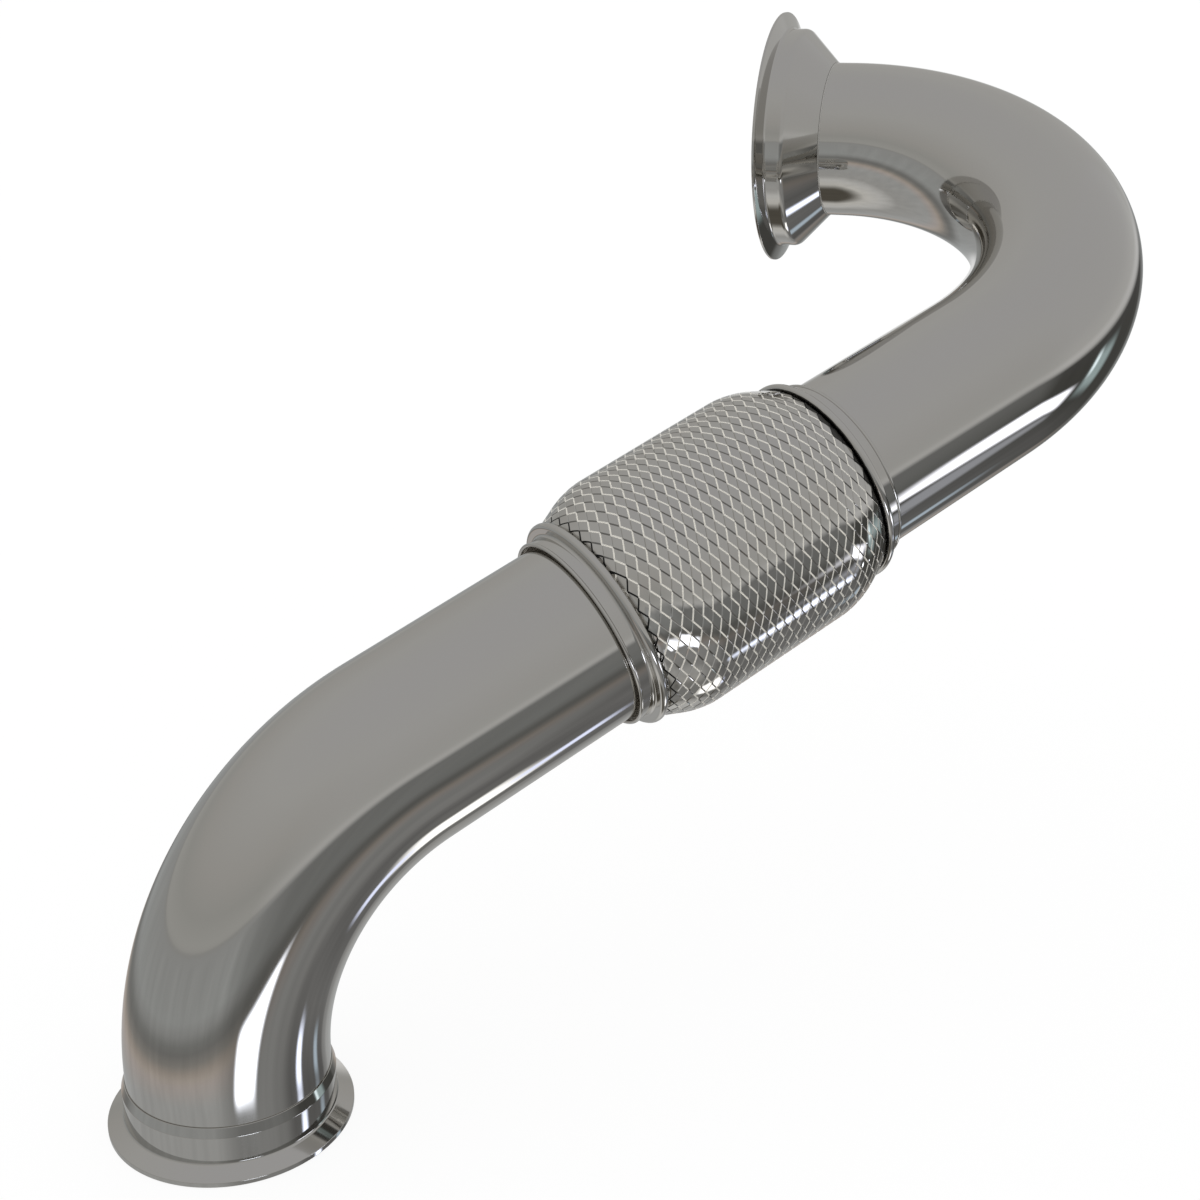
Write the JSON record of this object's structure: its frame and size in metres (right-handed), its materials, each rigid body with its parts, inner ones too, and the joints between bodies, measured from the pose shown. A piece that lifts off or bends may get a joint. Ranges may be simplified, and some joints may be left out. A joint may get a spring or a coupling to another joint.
{
  "type": "exhaust flex pipe",
  "caption": "Polished stainless exhaust pipe with a lower bend, a braided flexible joint in its long run, a wide return bend and a clamp flange at each end.",
  "frame": {"origin": "centre of the lower flange's sealing face", "axes": "+Z from the lower sealing face up into the tube along the lower end's axis; +X the way the long straight run climbs; +Y completes a right-handed frame and is the side the wide bend turns towards"},
  "size_m": [0.7091, 0.3974, 0.5167],
  "materials": {
    "polished_stainless": "mirror polished stainless steel tube and flanges",
    "braid_steel": "bright woven stainless steel",
    "sheet_steel": "plain rolled stainless sheet, satin",
    "weld_metal": "weld bead, lightly brushed"
  },
  "bodies": {
    "root": {"lower_flange": "polished_stainless", "lower_flange_weld": "weld_metal", "lower_pipe": "polished_stainless", "lower_collar_weld": "weld_metal", "lower_collar": "polished_stainless", "lower_inner_ring": "sheet_steel", "liner": "sheet_steel", "bellows": "sheet_steel", "braid": "braid_steel", "upper_inner_ring": "sheet_steel", "upper_collar": "polished_stainless", "upper_collar_weld": "weld_metal", "upper_pipe": "polished_stainless", "upper_flange_weld": "weld_metal", "upper_flange": "polished_stainless"}
  },
  "joints": []
}
